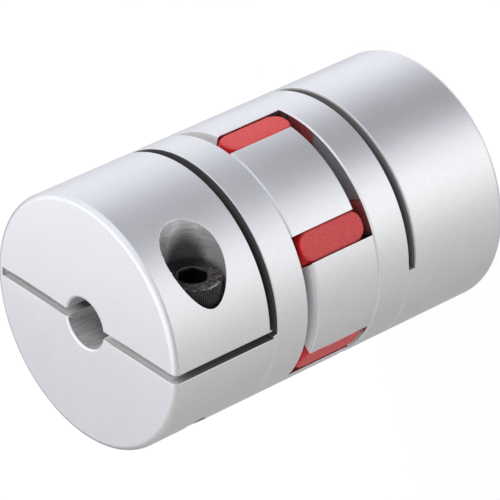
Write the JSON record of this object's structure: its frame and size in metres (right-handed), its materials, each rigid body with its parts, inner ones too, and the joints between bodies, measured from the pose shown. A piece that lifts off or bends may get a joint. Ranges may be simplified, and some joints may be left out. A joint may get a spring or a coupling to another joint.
{
  "type": "shaft coupling",
  "caption": "Clamp-type jaw coupling: slit hubs with curved jaws, an elastic spider between them, and socket-head clamp screws across the slits.",
  "frame": {"origin": "centre of the lower hub's end face, which the coupling stands on", "axes": "+Z along the shaft axis to the upper hub, +X the way both screw heads face, -Y the side of the upper hub's screw and open slit"},
  "size_m": [0.04, 0.04, 0.0655],
  "materials": {
    "hub_aluminium": "fine bead-blasted and clear anodised, satin",
    "spider_polyurethane": "satin red polyurethane",
    "screw_steel": "black oxide"
  },
  "bodies": {
    "root": {"upper_hub": "hub_aluminium", "lower_hub": "hub_aluminium", "spider": "spider_polyurethane", "upper_clamp_screw": "screw_steel", "lower_clamp_screw": "screw_steel"}
  },
  "joints": []
}
